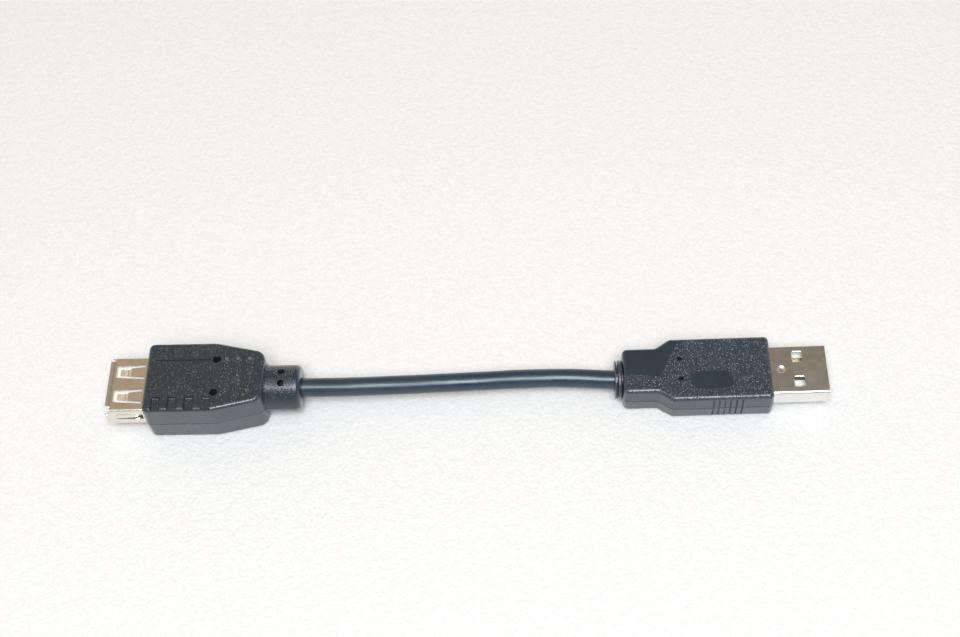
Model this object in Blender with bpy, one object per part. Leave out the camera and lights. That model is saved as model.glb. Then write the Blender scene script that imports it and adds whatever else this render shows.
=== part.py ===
"""Short extension cable with a Type-A plug on one end and a Type-A socket on the other.

The dimensions below are in millimetres, and the meshes are made in metres. The whole
object lies along X: the plug points to +X, the socket's mouth to -X, and the moulded
bodies rest on Z = 0. Each connector is modelled in its own frame, which an empty holds:
+X runs from the moulded body out through the mating end, X = 0 is the moulded body's
face round the metal shell, and Z = 0 is the middle of its thickness. The socket's frame
is turned half round, so its +Y side is the object's -Y side, called the front here.
"""
import math

import bmesh
import bpy
from mathutils import Matrix, Vector

MM = 0.001
GAP = 0.05                       # clearance between pieces that are moulded or pressed together

# Where the connectors lie, and how far each is turned about Z.
PLUG_FACE = (66.53, 0.19)
PLUG_YAW = 0.0
SOCKET_FACE = (-69.80, 0.14)
SOCKET_YAW = -1.0

# Contacts, in Type-A order: name, offset across the connector, wire colour.
CONTACTS = (("vbus", -3.5, "red"), ("data_minus", -1.0, "white"),
            ("data_plus", 1.0, "green"), ("ground", 3.5, "black"))

# Plug.
PLUG_THICK = 7.95
PLUG_WIDE = 15.7
PLUG_NECK_WIDE = 11.4
PLUG_LONG = 32.4
PLUG_TAPER = (-21.85, -25.0)     # where the body starts to narrow, and where it has narrowed
PLUG_DRAFT = 3.0
PLUG_EDGE = 0.9
PLUG_SHELL = (12.0, 4.5, 12.05, 7.5)  # width, height, length outside, length inside the body
PLUG_WINDOW = (2.25, 2.55)       # length and width of each shell window
PLUG_WINDOW_AT = (5.8, 3.1)
PLUG_DIMPLE = (2.1, 0.95, 0.12)  # place, radius and depth of the locking dimple
PLUG_CAVITY_X = 2.6              # back wall of the open half of the plug
PLUG_TONGUE_TIP = 11.75
PLUG_FRONT_CONTACTS = {"vbus": 10.5, "data_minus": 9.5, "data_plus": 9.5, "ground": 10.5}
PLUG_COLLAR_OVAL = 1.11          # the collar behind the body is this much wider than high
PLUG_CABLE_END = -21.0

# Socket.
SOCKET_THICK = 11.8
SOCKET_WIDE = 17.2
SOCKET_END_WIDE = 12.3
SOCKET_LONG = 26.3
SOCKET_TAPER_X = -15.35
SOCKET_DRAFT = 1.7
SOCKET_EDGE = 0.8
SOCKET_FACE_DRAFT = 1.2          # how much more the mouth-side face leans than the sides
SOCKET_SHELL = (13.45, 5.7, 7.7, 9.5)
SOCKET_LIP = (0.9, 0.45)         # how far each mouth lip reaches forward and flares out
SOCKET_WINDOW = (0.78, 7.1, 3.75, 2.8)   # cut-out round a spring: from, to, width at each
SOCKET_WINDOW_Y = 3.05
SOCKET_SIDE_WINDOW = (0.6, 6.5, 2.0, 0.2)   # from, to, height and middle of the side one
SOCKET_CAVITY_X = -4.5
SOCKET_TONGUE = (7.4, 11.1, 0.1, 1.85)   # tip, width, underside and top
SOCKET_CABLE_END = -21.1
NECK_RADIUS = 5.0
NECK_END = -33.9
NECK_EDGE = 1.0
SPRING_PIVOT = (-4.3, 0.5)       # where a contact's spring leg bends, X and Z

SHEET = 0.3                      # thickness of the shells' steel sheet
CONTACT_WIDE = 1.0
CONTACT_THICK = 0.2

# Cable.
CABLE_RADIUS = 2.1
WIRE_RADIUS = 0.45
WIRE_LAY = 0.62                  # how far each wire's centre is from the cable's, in Y and Z
CABLE_ROUTE = ((-48.70, -0.24, 5.90), (-41.90, -0.36, 5.90), (-35.30, -0.47, 5.90),
               (-26.33, -0.53, 5.75), (-18.24, -0.32, 5.45), (-10.68, -0.07, 5.18),
               (-3.44, 0.20, 4.93), (3.39, 0.49, 4.70), (10.30, 0.78, 4.48), (16.90, 0.93, 4.25),
               (22.70, 0.87, 4.08), (27.70, 0.50, 4.00), (32.30, 0.20, 3.98), (38.80, 0.19, 3.98),
               (45.53, 0.19, 3.98))


def clear_scene():
    """Remove every object, so that the script can run again in an open file."""
    for obj in list(bpy.data.objects):
        bpy.data.objects.remove(obj, do_unlink=True)


def make_material(name, colour, roughness, metallic=0.0):
    """A plain Principled material."""
    material = bpy.data.materials.new(name)
    material.use_nodes = True
    shader = material.node_tree.nodes["Principled BSDF"]
    shader.inputs["Base Color"].default_value = (*colour, 1.0)
    shader.inputs["Roughness"].default_value = roughness
    shader.inputs["Metallic"].default_value = metallic
    material.diffuse_color = (*colour, 1.0)
    return material


def make_materials():
    """Every material of the object, by name."""
    return {
        "pvc": make_material("black_pvc", (0.030, 0.036, 0.044), 0.45),
        "jacket": make_material("cable_pvc", (0.028, 0.038, 0.046), 0.30),
        "inner": make_material("inner_polyethylene", (0.55, 0.55, 0.50), 0.60),
        "plug_steel": make_material("plug_nickel", (0.36, 0.33, 0.28), 0.28, 1.0),
        "socket_steel": make_material("socket_nickel", (0.50, 0.42, 0.31), 0.30, 1.0),
        "white": make_material("white_insulator", (0.86, 0.87, 0.86), 0.50),
        "gold": make_material("gold_contact", (0.83, 0.62, 0.26), 0.25, 1.0),
        "braid": make_material("tinned_braid", (0.55, 0.54, 0.51), 0.40, 1.0),
        "wire_red": make_material("wire_red", (0.60, 0.03, 0.03), 0.45),
        "wire_white": make_material("wire_white", (0.82, 0.82, 0.80), 0.45),
        "wire_green": make_material("wire_green", (0.04, 0.36, 0.10), 0.45),
        "wire_black": make_material("wire_black", (0.02, 0.02, 0.02), 0.45),
    }


def make_frame(name, face, thickness, yaw):
    """An empty that holds one connector's frame."""
    empty = bpy.data.objects.new(name, None)
    bpy.context.scene.collection.objects.link(empty)
    empty.location = (face[0] * MM, face[1] * MM, thickness / 2 * MM)
    empty.rotation_euler = (0.0, 0.0, math.radians(yaw))
    return empty


def add_object(name, shape, material, frame, origin=(0.0, 0.0, 0.0)):
    """Turn a shape in millimetres into an object of the connector, with its origin there."""
    bmesh.ops.recalc_face_normals(shape, faces=shape.faces)
    if shape.calc_volume(signed=True) < 0:
        bmesh.ops.reverse_faces(shape, faces=shape.faces)
    shape.transform(Matrix.Scale(MM, 4) @ Matrix.Translation(-Vector(origin)))
    mesh = bpy.data.meshes.new(name)
    shape.to_mesh(mesh)
    shape.free()
    obj = bpy.data.objects.new(name, mesh)
    bpy.context.scene.collection.objects.link(obj)
    if material:
        mesh.materials.append(material)
        mesh.shade_smooth()
        mesh.set_sharp_from_angle(angle=math.radians(35))
    obj.parent = frame
    obj.location = Vector(origin) * MM
    return obj


def boolean(target, shape, operation, frame, label):
    """Cut a shape from the target, or join it on, with a hidden helper object."""
    helper = add_object(f"{target.name}_{label}", shape, None, frame)
    helper.hide_render = True
    helper.display_type = "WIRE"
    modifier = target.modifiers.new(label, "BOOLEAN")
    modifier.operation = operation
    modifier.solver = "EXACT"
    modifier.object = helper


def cut(target, shape, frame, label):
    boolean(target, shape, "DIFFERENCE", frame, label)


def join(target, shape, frame, label):
    boolean(target, shape, "UNION", frame, label)


def box(x0, x1, y0, y1, z0, z1):
    """A box between two corners."""
    shape = bmesh.new()
    bmesh.ops.create_cube(shape, size=1.0)
    size = Matrix.Diagonal((x1 - x0, y1 - y0, z1 - z0, 1.0))
    shape.transform(Matrix.Translation(((x0 + x1) / 2, (y0 + y1) / 2, (z0 + z1) / 2)) @ size)
    return shape


def loft(sections):
    """A closed solid through sections that all have the same number of points."""
    shape = bmesh.new()
    rings = [[shape.verts.new(point) for point in section] for section in sections]
    count = len(rings[0])
    for low, high in zip(rings, rings[1:]):
        for i in range(count):
            j = (i + 1) % count
            shape.faces.new((low[i], low[j], high[j], high[i]))
    shape.faces.new(rings[0])
    shape.faces.new(rings[-1])
    return shape


def lathe(profile, segments):
    """A solid turned about the X axis from a closed profile of (x, radius) points."""
    shape = bmesh.new()
    rings = []
    for i in range(segments):
        angle = math.tau * i / segments
        ring = [shape.verts.new((x, r * math.cos(angle), r * math.sin(angle))) for x, r in profile]
        rings.append(ring)
    for ring, following in zip(rings, rings[1:] + rings[:1]):
        for i in range(len(profile)):
            j = (i + 1) % len(profile)
            shape.faces.new((ring[i], ring[j], following[j], following[i]))
    return shape


def pin(centre, direction, radius, length, segments=12):
    """A round cutter that starts at a point and runs in a direction."""
    shape = bmesh.new()
    bmesh.ops.create_cone(shape, cap_ends=True, segments=segments, radius1=radius,
                          radius2=radius, depth=length)
    turn = Vector(direction).to_track_quat("Z", "X").to_matrix().to_4x4()
    middle = Vector(centre) + Vector(direction).normalized() * length / 2
    shape.transform(Matrix.Translation(middle) @ turn)
    return shape


def fillet(corners, steps):
    """Replace each (a, b, radius) corner of a closed outline with an arc of points."""
    points = []
    count = len(corners)
    for i, (a, b, radius) in enumerate(corners):
        here = Vector((a, b))
        to_last = (Vector(corners[i - 1][:2]) - here).normalized()
        to_next = (Vector(corners[(i + 1) % count][:2]) - here).normalized()
        half = to_last.angle(to_next) / 2
        centre = here + (to_last + to_next).normalized() * radius / math.sin(half)
        start = here + to_last * radius / math.tan(half) - centre
        sweep = start.angle_signed(here + to_next * radius / math.tan(half) - centre)
        arcs = max(1, round(steps * abs(sweep) / (math.pi / 2)))
        for k in range(arcs + 1):
            angle = -sweep * k / arcs
            turned = Matrix.Rotation(angle, 2) @ start
            points.append(centre + turned)
    return points


def inset(outline, distance):
    """Move a closed outline inwards by a distance, each point along its own normal."""
    moved = []
    count = len(outline)
    for i, point in enumerate(outline):
        before = (point - outline[i - 1]).normalized()
        after = (outline[(i + 1) % count] - point).normalized()
        along = (before + after).normalized()
        normal = Vector((-along.y, along.x))
        moved.append(point + normal * distance / max(0.5, along.dot(after)))
    return moved


def edge_levels(thickness, draft, radius, steps):
    """Heights and insets of a moulded edge: drafted from the middle, then rounded over."""
    slope = math.tan(math.radians(draft))
    straight = thickness / 2 - radius
    top = []
    for k in range(steps + 1):
        angle = math.pi / 2 * k / steps
        top.append((straight + radius * math.sin(angle),
                    straight * slope + radius * (1 - math.cos(angle))))
    bottom = [(-z, distance) for z, distance in reversed(top)]
    return bottom + [(0.0, 0.0)] + top


def moulded_block(corners, thickness, draft, radius, face_draft=0.0):
    """A moulded body: an outline in XY, drafted both ways from its parting line."""
    outline = fillet(corners, steps=4)
    lean = math.tan(math.radians(face_draft))
    sections = []
    for z, distance in edge_levels(thickness, draft, radius, steps=3):
        section = []
        for point, moved in zip(outline, inset(outline, distance)):
            back = abs(z) * lean if point.x > -2.0 else 0.0
            section.append((moved.x - back, moved.y, z))
        sections.append(section)
    return loft(sections)


def rounded_section(width, height, radius, steps=3):
    """A rectangle with round corners, as (y, z) points."""
    y, z = width / 2, height / 2
    return fillet([(y, z, radius), (-y, z, radius), (-y, -z, radius), (y, -z, radius)], steps)


def sheet_tube(width, height, radius, x0, x1):
    """A folded sheet shell, open at both ends."""
    outer = rounded_section(width, height, radius)
    inner = rounded_section(width - 2 * SHEET, height - 2 * SHEET, radius - SHEET * 0.8)
    shape = bmesh.new()
    rings = []
    for section, x in ((outer, x0), (outer, x1), (inner, x1), (inner, x0)):
        rings.append([shape.verts.new((x, p.x, p.y)) for p in section])
    count = len(outer)
    for ring, following in zip(rings, rings[1:] + rings[:1]):
        for i in range(count):
            j = (i + 1) % count
            shape.faces.new((ring[i], ring[j], following[j], following[i]))
    return shape


def round_bar(x0, x1, width, height, radius):
    """A solid bar along X with round corners."""
    section = rounded_section(width, height, radius, steps=2)
    return loft([[(x, p.x, p.y) for p in section] for x in (x0, x1)])


def strip(stations, thickness, turn=0.0):
    """A bent strip through (x, z, half width) stations, turned about the X axis."""
    sections = []
    last = len(stations) - 1
    for i, (x, z, half) in enumerate(stations):
        before = stations[max(0, i - 1)]
        after = stations[min(last, i + 1)]
        along = Vector((after[0] - before[0], after[1] - before[1])).normalized()
        dx, dz = -along.y * thickness / 2, along.x * thickness / 2
        sections.append([(x + dx, -half, z + dz), (x + dx, half, z + dz),
                         (x - dx, half, z - dz), (x - dx, -half, z - dz)])
    shape = loft(sections)
    shape.transform(Matrix.Rotation(turn, 4, "X"))
    return shape


def smooth_points(route, spacing):
    """Points on a smooth curve through a route, about a spacing apart."""
    route = [Vector(point) for point in route]
    padded = [2 * route[0] - route[1]] + route + [2 * route[-1] - route[-2]]
    fine = []
    for before, a, b, after in zip(padded, padded[1:], padded[2:], padded[3:]):
        for k in range(20):
            t = k / 20
            fine.append(0.5 * (2 * a + (b - before) * t
                               + (2 * before - 5 * a + 4 * b - after) * t * t
                               + (3 * a - before - 3 * b + after) * t ** 3))
    fine.append(route[-1])
    lengths = [0.0]
    for a, b in zip(fine, fine[1:]):
        lengths.append(lengths[-1] + (b - a).length)
    count = max(2, round(lengths[-1] / spacing))
    points = []
    for k in range(count + 1):
        wanted = lengths[-1] * k / count
        i = max(j for j, length in enumerate(lengths) if length <= wanted + 1e-9)
        i = min(i, len(fine) - 2)
        share = (wanted - lengths[i]) / (lengths[i + 1] - lengths[i])
        points.append(fine[i].lerp(fine[i + 1], share))
    return points


def add_cord(name, route, radius, spacing, material, frame=None, sides=2):
    """A round cord along a route in millimetres, with closed ends."""
    points = smooth_points(route, spacing)
    curve = bpy.data.curves.new(name, "CURVE")
    curve.dimensions = "3D"
    curve.bevel_depth = radius * MM
    curve.bevel_resolution = sides
    curve.use_fill_caps = True
    spline = curve.splines.new("POLY")
    spline.points.add(len(points) - 1)
    for slot, point in zip(spline.points, points):
        slot.co = (*(point * MM), 1.0)
    curve.materials.append(material)
    obj = bpy.data.objects.new(name, curve)
    bpy.context.scene.collection.objects.link(obj)
    obj.parent = frame
    return obj


def plug_overmould(frame, materials):
    """The plug's outer moulding, with its grip grooves and the hollow for what it holds."""
    wide, narrow = PLUG_WIDE / 2, PLUG_NECK_WIDE / 2
    start, end = PLUG_TAPER
    front_half = [(0.0, -wide, 1.2), (0.0, wide, 1.2), (start, wide, 1.2), (end, narrow, 1.5),
                  (-PLUG_LONG, narrow, 1.3)]
    back_half = [(-PLUG_LONG, -narrow, 1.3), (end, -narrow, 1.5), (start, -wide, 1.2)]
    shape = moulded_block(front_half + back_half, PLUG_THICK, PLUG_DRAFT, PLUG_EDGE)
    body = add_object("plug_overmould", shape, materials["pvc"], frame)
    width, height, _, inside = PLUG_SHELL
    y, z = width / 2 + GAP, height / 2 + GAP
    cut(body, box(-inside - 0.1, 1.0, -y, y, -z, z), frame, "shell_slot")
    cut(body, box(-19.7, -inside + 0.1, -6.5, 6.5, -2.9, 2.9), frame, "core_hollow")
    cut(body, box(-26.0, -19.6, -3.4, 3.4, -2.9, 2.9), frame, "clamp_hollow")
    cut(body, box(-20.0, -4.3, -1.75, 1.75, -2.7, -2.0), frame, "strap_slot")
    cut(body, pin((-PLUG_LONG - 1.0, 0.0, 0.0), (1.0, 0.0, 0.0), 3.05, 7.8, 24), frame, "neck_bore")
    for index, side in enumerate((-1.0, 1.0)):
        cut(body, pin((-19.8, side * 2.45, PLUG_THICK / 2 - 0.7), (0, 0, 1), 0.55, 2.0), frame,
            f"pin_mark_{index}")
    for side in (-1.0, 1.0):
        for k in range(6):
            x = -6.86 - 1.24 * k
            inner, outer = side * (wide - 0.3), side * (wide + 1.0)
            cut(body, box(x - 0.3, x + 0.3, min(inner, outer), max(inner, outer), -3.0, 3.0),
                frame, f"grip_{int(side)}_{k}")
    return body


def plug_shell(frame, materials):
    """The plug's folded steel shell with its four windows and its locking dimple."""
    width, height, outside, inside = PLUG_SHELL
    shape = sheet_tube(width, height, 0.6, -inside, outside)
    shell = add_object("plug_shell", shape, materials["plug_steel"], frame)
    x, y = PLUG_WINDOW_AT
    long, wide = PLUG_WINDOW
    for name, side in (("front_window", -1.0), ("back_window", 1.0)):
        cut(shell, box(x - long / 2, x + long / 2, side * y - wide / 2, side * y + wide / 2,
                       -height, height), frame, name)
    at, radius, depth = PLUG_DIMPLE
    cut(shell, pin((at, 0.0, height / 2 - depth), (0, 0, 1), radius, 1.0), frame, "dimple")
    return shell


def plug_insulator(frame, materials):
    """The white block that fills the plug's back and carries the contacts on its tongue."""
    width, height, _, _ = PLUG_SHELL
    shrink = 2 * (SHEET + GAP)
    bar = round_bar(-7.0, PLUG_TONGUE_TIP, width - shrink, height - shrink, 0.5)
    block = add_object("plug_insulator", bar, materials["white"], frame)
    cut(block, box(PLUG_CAVITY_X, PLUG_TONGUE_TIP + 1.0, -width, width, 0.0, height), frame,
        "open_half")
    half = CONTACT_WIDE / 2 + GAP
    for name, offset, _ in CONTACTS:
        front = PLUG_FRONT_CONTACTS[name] + GAP
        cut(block, box(-8.0, front, offset - half, offset + half, -CONTACT_THICK - 2 * GAP, GAP),
            frame, f"groove_{name}")
    return block


def plug_contacts(frame, materials):
    """Four flat contacts, flush with the tongue, whose tails the wires are soldered to."""
    half = CONTACT_WIDE / 2
    for name, offset, _ in CONTACTS:
        shape = box(-10.0, PLUG_FRONT_CONTACTS[name], offset - half, offset + half,
                    -CONTACT_THICK - GAP, -GAP)
        add_object(f"plug_contact_{name}", shape, materials["gold"], frame)


def inner_mould(name, frame, materials, x0, x1, outer, inner):
    """The stiff core moulded round the solder joints, with room for the wires."""
    core = add_object(name, box(x0, x1, *outer), materials["inner"], frame)
    cut(core, box(x0 - 1.0, x1 + 1.0, *inner), frame, "wire_room")
    return core


def shield_clamp(name, frame, materials, x0, x1, strap_end, strap_low):
    """The ring crimped over the braid, and its strap that reaches forward to the shell."""
    inner, outer = CABLE_RADIUS + 0.27, CABLE_RADIUS + 0.57
    ring = lathe([(x0, inner), (x0, outer), (x1, outer), (x1, inner)], 20)
    clamp = add_object(name, ring, materials["braid"], frame)
    join(clamp, box(x1 - 1.0, x1 - 0.2, -0.9, 0.9, strap_low, -inner - 0.1), frame, "web")
    join(clamp, box(x1 - 0.6, strap_end, -1.6, 1.6, strap_low, strap_low + 0.25), frame, "strap")
    return clamp


def braid_fold(name, frame, materials, x0, x1):
    """The braid's end, folded back over the jacket under the clamp."""
    inner, outer = CABLE_RADIUS + 0.05, CABLE_RADIUS + 0.22
    profile = [(x0, inner), (x0, outer), (x1, outer), (x1, inner)]
    return add_object(name, lathe(profile, 20), materials["braid"], frame)


def add_wires(prefix, frame, materials, cable_end, solder_end, solder_z, turned):
    """Four wires that fan out from the cable's end to the contacts' tails."""
    lay = ((-1, 1), (-1, -1), (1, -1), (1, 1))
    start = cable_end + 0.25
    span = solder_end - start
    for (name, offset, colour), (side, level) in zip(CONTACTS, lay):
        y = turned * offset
        bundled = (turned * side * WIRE_LAY, level * WIRE_LAY)
        route = ((start, *bundled), (start + 0.2 * span, *bundled),
                 (start + 0.65 * span, y * 0.9, solder_z), (start + 0.8 * span, y, solder_z),
                 (solder_end, y, solder_z))
        add_cord(f"{prefix}_wire_{colour}", route, WIRE_RADIUS, 1.6,
                 materials[f"wire_{colour}"], frame)


def plug_strain_relief(frame, materials):
    """The grommet round the cable: a sleeve in the body, then a collar, a groove and a flange."""
    back = -PLUG_LONG
    bore = CABLE_RADIUS + 0.12
    profile = [(back + 5.7, bore), (back + 5.7, 3.0), (back - 0.05, 3.0), (back - 0.05, 3.7),
               (back - 0.20, 3.88), (back - 0.80, 3.88), (back - 0.95, 3.7), (back - 0.95, 2.95),
               (back - 1.20, 2.95), (back - 1.20, 3.82), (back - 1.45, 3.85), (back - 1.60, 3.7),
               (back - 1.60, bore)]
    grommet = lathe(profile, 28)
    for vert in grommet.verts:
        if math.hypot(vert.co.y, vert.co.z) > 3.4:
            vert.co.y *= PLUG_COLLAR_OVAL
    return add_object("plug_strain_relief", grommet, materials["pvc"], frame)


def build_plug(materials):
    """Everything on the plug's end."""
    frame = make_frame("plug_frame", PLUG_FACE, PLUG_THICK, PLUG_YAW)
    plug_overmould(frame, materials)
    plug_shell(frame, materials)
    plug_insulator(frame, materials)
    plug_contacts(frame, materials)
    inner_mould("plug_inner_mould", frame, materials, -19.6, -7.6,
                (-6.45, 6.45, -2.25, 2.85), (-5.2, 5.2, -1.6, 1.8))
    shield_clamp("plug_shield_clamp", frame, materials, -24.4, -21.4, -4.5, -2.62)
    braid_fold("plug_braid_fold", frame, materials, -24.8, -21.2)
    add_wires("plug", frame, materials, PLUG_CABLE_END, -7.7, WIRE_RADIUS + GAP, 1.0)
    plug_strain_relief(frame, materials)


def socket_overmould(frame, materials):
    """The socket's outer moulding, with finger notches, ribs and the hollow for its core."""
    wide, narrow = SOCKET_WIDE / 2, SOCKET_END_WIDE / 2
    corners = [(0.0, -wide, 1.4), (0.0, wide, 1.4), (SOCKET_TAPER_X, wide, 6.0),
               (-SOCKET_LONG, narrow, 2.6), (-SOCKET_LONG, -narrow, 2.6),
               (SOCKET_TAPER_X, -wide, 6.0)]
    shape = moulded_block(corners, SOCKET_THICK, SOCKET_DRAFT, SOCKET_EDGE, SOCKET_FACE_DRAFT)
    body = add_object("socket_overmould", shape, materials["pvc"], frame)
    width, height, _, inside = SOCKET_SHELL
    y, z = width / 2 + GAP, height / 2 + GAP
    cut(body, box(-inside - 0.1, 1.0, -y, y, -z, z), frame, "shell_slot")
    cut(body, box(-20.1, -inside + 0.1, -y, y, -3.35, 3.35), frame, "core_hollow")
    cut(body, box(-23.9, -20.0, -3.6, 3.6, -3.35, 3.35), frame, "clamp_hollow")
    cut(body, box(-9.7, -6.4, -1.75, 1.75, -3.3, -2.0), frame, "strap_slot")
    start = -SOCKET_LONG - 1.0
    cut(body, pin((start, 0.0, 0.0), (1.0, 0.0, 0.0), NECK_RADIUS + 0.05, 4.0, 36), frame,
        "neck_bore")
    cut(body, pin((start, 0.0, 0.0), (1.0, 0.0, 0.0), NECK_RADIUS + 0.35, 1.9, 36), frame,
        "neck_rebate")
    top = SOCKET_THICK / 2
    for index, side in enumerate((-1.0, 1.0)):
        cut(body, pin((-15.65, side * 4.1, top - 0.9), (0, 0, 1), 0.85, 2.0), frame,
            f"pin_mark_{index}")
    for face in (-1.0, 1.0):
        low, high = sorted((face * (top - 0.5), face * (top + 1.0)))
        for k in range(4):
            x = -3.17 - 3.64 * k
            for side in (-1.0, 1.0):
                inner, outer = sorted((side * 5.2, side * (wide + 1.0)))
                cut(body, box(x - 0.95, x + 0.95, inner, outer, low, high), frame,
                    f"notch_{int(face)}_{int(side)}_{k}")
        low, high = sorted((face * (top - 0.25), face * (top + 1.0)))
        for k in range(3):
            x = -17.9 - 2.5 * k
            cut(body, box(x - 0.5, x + 0.5, -4.3, 4.3, low, high), frame, f"rib_{int(face)}_{k}")
    return body


def mouth_lip(root_half, tip_half, edge, turn):
    """One flared lip of the socket's mouth, on the wall that is an edge away from the axis."""
    reach, flare = SOCKET_LIP
    mouth = SOCKET_SHELL[2]
    middle = edge - SHEET / 2
    stations = ((mouth - 0.25, middle, root_half), (mouth, middle + 0.03, root_half),
                (mouth + reach * 0.45, middle + flare * 0.40, (root_half + tip_half) / 2),
                (mouth + reach, middle + flare, tip_half))
    return strip(stations, SHEET * 0.94, turn)


def spring_window(middle, reach):
    """The cutter for the tapered window round a spring, through the shell's top and bottom."""
    start, end, start_wide, end_wide = SOCKET_WINDOW
    sections = []
    for x, half in ((start, start_wide / 2), (end, end_wide / 2)):
        sections.append([(x, middle - half, -reach), (x, middle + half, -reach),
                         (x, middle + half, reach), (x, middle - half, reach)])
    return loft(sections)


def socket_shell(frame, materials):
    """The socket's folded steel shell, with flared lips and a cut-out round each spring."""
    width, height, mouth, inside = SOCKET_SHELL
    shape = sheet_tube(width, height, 0.8, -inside, mouth)
    shell = add_object("socket_shell", shape, materials["socket_steel"], frame)
    quarter = math.pi / 2
    join(shell, mouth_lip(5.75, 5.55, height / 2, 0.0), frame, "top_lip")
    join(shell, mouth_lip(5.75, 5.55, height / 2, 2 * quarter), frame, "bottom_lip")
    join(shell, mouth_lip(1.95, 1.8, width / 2, quarter), frame, "left_lip")
    join(shell, mouth_lip(1.95, 1.8, width / 2, -quarter), frame, "right_lip")
    for index, side in enumerate((-1.0, 1.0)):
        cut(shell, spring_window(side * SOCKET_WINDOW_Y, height), frame, f"windows_{index}")
    start, end, high, middle = SOCKET_SIDE_WINDOW
    cut(shell, box(start, end, -width, width, middle - high / 2, middle + high / 2), frame,
        "side_windows")
    return shell


def socket_insulator(frame, materials):
    """The white block at the socket's back, whose tongue reaches forward over the contacts."""
    width, height, _, _ = SOCKET_SHELL
    shrink = 2 * (SHEET + GAP)
    tip, wide, low, high = SOCKET_TONGUE
    bar = round_bar(-9.3, SOCKET_CAVITY_X, width - shrink, height - shrink, 0.7)
    block = add_object("socket_insulator", bar, materials["white"], frame)
    join(block, box(SOCKET_CAVITY_X - 0.5, tip, -wide / 2, wide / 2, low, high), frame, "tongue")
    half = CONTACT_WIDE / 2 + 0.12
    for name, offset, _ in CONTACTS:
        cut(block, box(SOCKET_CAVITY_X - 0.4, tip - 0.5, offset - half, offset + half, -0.5, 0.95),
            frame, f"groove_{name}")
        cut(block, box(-10.0, SOCKET_CAVITY_X, offset - half, offset + half, 0.35, 0.65),
            frame, f"tail_slot_{name}")
    return block


def socket_contacts(frame, materials):
    """Each contact's fixed tail, and its spring leg that hinges where it leaves the block."""
    pivot_x, pivot_z = SPRING_PIVOT
    half = CONTACT_WIDE / 2 - 0.03
    for name, offset, _ in CONTACTS:
        y = -offset
        tail = box(-12.3, pivot_x - 0.25, y - half, y + half, pivot_z - CONTACT_THICK / 2,
                   pivot_z + CONTACT_THICK / 2)
        add_object(f"socket_contact_{name}", tail, materials["gold"], frame)
        stations = ((pivot_x, pivot_z, half), (-1.5, 0.28, half), (3.2, -0.10, half),
                    (4.2, -0.27, half), (4.7, -0.30, half), (5.2, -0.20, half * 0.9),
                    (5.9, 0.30, half * 0.7))
        leg = strip(stations, CONTACT_THICK)
        leg.transform(Matrix.Translation((0.0, y, 0.0)))
        add_object(f"socket_contact_spring_{name}", leg, materials["gold"], frame,
                   (pivot_x, y, pivot_z))


def socket_shell_springs(frame, materials):
    """The six spring fingers that grip a plug, each hinged at the end that joins the shell."""
    width, height, _, _ = SOCKET_SHELL
    root = SOCKET_WINDOW[0] + 0.08
    middle = height / 2 - SHEET / 2
    stations = ((root, middle, 1.25), (2.4, middle - 0.10, 1.10), (4.0, middle - 0.25, 0.94),
                (4.3, middle - 0.34, 0.80), (4.9, middle - 0.55, 0.76), (5.6, middle - 0.45, 0.76),
                (6.35, middle - 0.20, 0.72))
    for wall, turn in (("top", 0.0), ("bottom", math.pi)):
        for side, y in (("front", SOCKET_WINDOW_Y), ("back", -SOCKET_WINDOW_Y)):
            finger = strip(stations, SHEET * 0.9, turn)
            finger.transform(Matrix.Translation((0.0, y, 0.0)))
            hinge = (root, y, math.cos(turn) * middle)
            add_object(f"socket_shell_spring_{wall}_{side}", finger, materials["socket_steel"],
                       frame, hinge)
    root = SOCKET_SIDE_WINDOW[1] - 0.08
    middle = width / 2 - SHEET / 2
    height_mid = SOCKET_SIDE_WINDOW[3]
    stations = ((root, middle, 0.78), (3.2, middle - 0.10, 0.76), (2.5, middle - 0.26, 0.74),
                (1.9, middle - 0.50, 0.70), (1.3, middle - 0.40, 0.66))
    for side, turn in (("front", -math.pi / 2), ("back", math.pi / 2)):
        finger = strip(stations, SHEET * 0.9, turn)
        finger.transform(Matrix.Translation((0.0, 0.0, height_mid)))
        hinge = (root, -math.sin(turn) * middle, height_mid)
        add_object(f"socket_shell_spring_side_{side}", finger, materials["socket_steel"], frame,
                   hinge)


def socket_strain_relief(frame, materials):
    """The round neck behind the socket: an anchor flange in the body, then the visible barrel."""
    bore = CABLE_RADIUS + 0.12
    radius = NECK_RADIUS
    profile = [(-24.1, bore), (-24.1, 4.6), (-24.9, 4.6), (-24.9, 4.0), (-25.5, 4.0),
               (-25.5, radius)]
    for k in range(5):
        angle = math.pi / 2 * k / 4
        profile.append((NECK_END + NECK_EDGE * (1 - math.sin(angle)),
                        radius - NECK_EDGE * (1 - math.cos(angle))))
    profile += [(NECK_END, bore + 0.25), (NECK_END + 0.3, bore)]
    neck = add_object("socket_strain_relief", lathe(profile, 36), materials["pvc"], frame)
    lean = math.radians(17)
    for index, side in enumerate((-1.0, 1.0)):
        out = Vector((0.0, side * math.sin(lean), math.cos(lean)))
        cut(neck, pin(Vector((-29.85, 0.0, 0.0)) + out * (radius - 0.9), out, 0.75, 2.0), frame,
            f"pin_mark_{index}")
    return neck


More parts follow.
